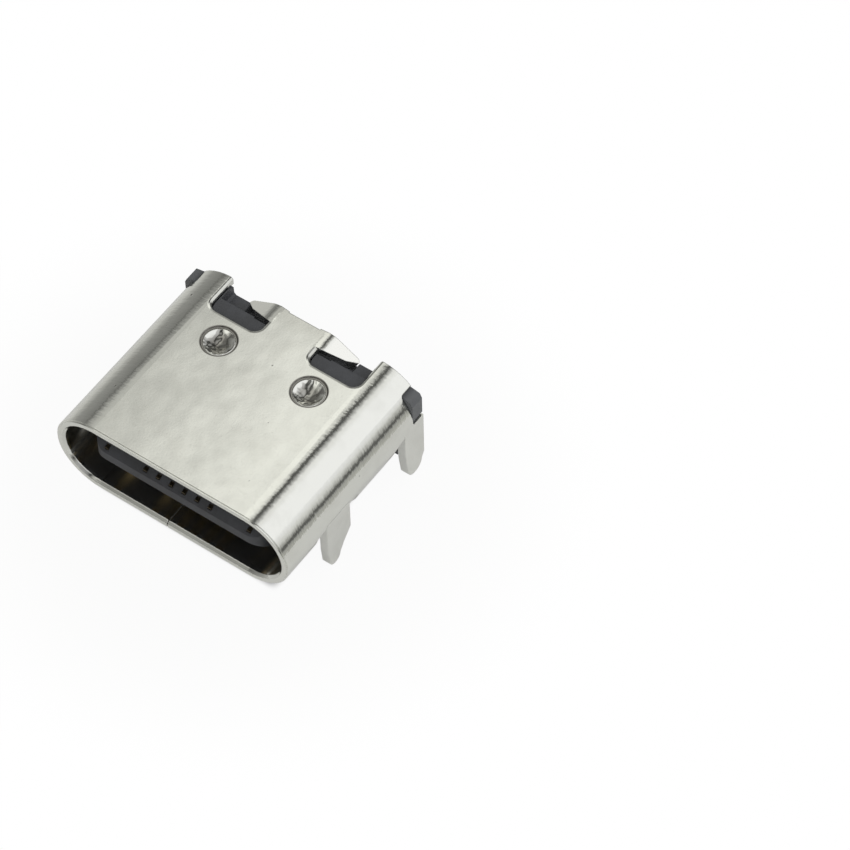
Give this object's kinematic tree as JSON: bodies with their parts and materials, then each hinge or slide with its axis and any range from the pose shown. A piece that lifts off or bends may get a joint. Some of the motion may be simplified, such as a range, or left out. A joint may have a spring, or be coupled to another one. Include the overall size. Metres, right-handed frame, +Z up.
{
  "type": "usb-c socket",
  "caption": "Flat oval metal socket on four through-board legs, with a contact tongue in its mouth and surface-soldered tails at the rear.",
  "frame": {"origin": "middle of the mouth's width, at the rim, on the board plane", "axes": "+Z up from the board, -Y out of the mouth towards the plug, +X to the right seen from above with the mouth towards the viewer"},
  "size_m": [0.009, 0.0076, 0.0041],
  "materials": {
    "steel": "nickel-plated, satin, with a light grain",
    "resin": "moulded, dull",
    "gold": "gold-plated, satin",
    "plate": "bare stamped steel"
  },
  "bodies": {
    "root": {"shell": "steel", "housing": "resin", "upper_insert": "resin", "lower_insert": "resin", "mid_plate": "plate", "contact_a1": "gold", "contact_a4": "gold", "contact_a5": "gold", "contact_a6": "gold", "contact_a7": "gold", "contact_a8": "gold", "contact_a9": "gold", "contact_a12": "gold", "contact_b12": "gold", "contact_b9": "gold", "contact_b8": "gold", "contact_b7": "gold", "contact_b6": "gold", "contact_b5": "gold", "contact_b4": "gold", "contact_b1": "gold"}
  },
  "joints": []
}
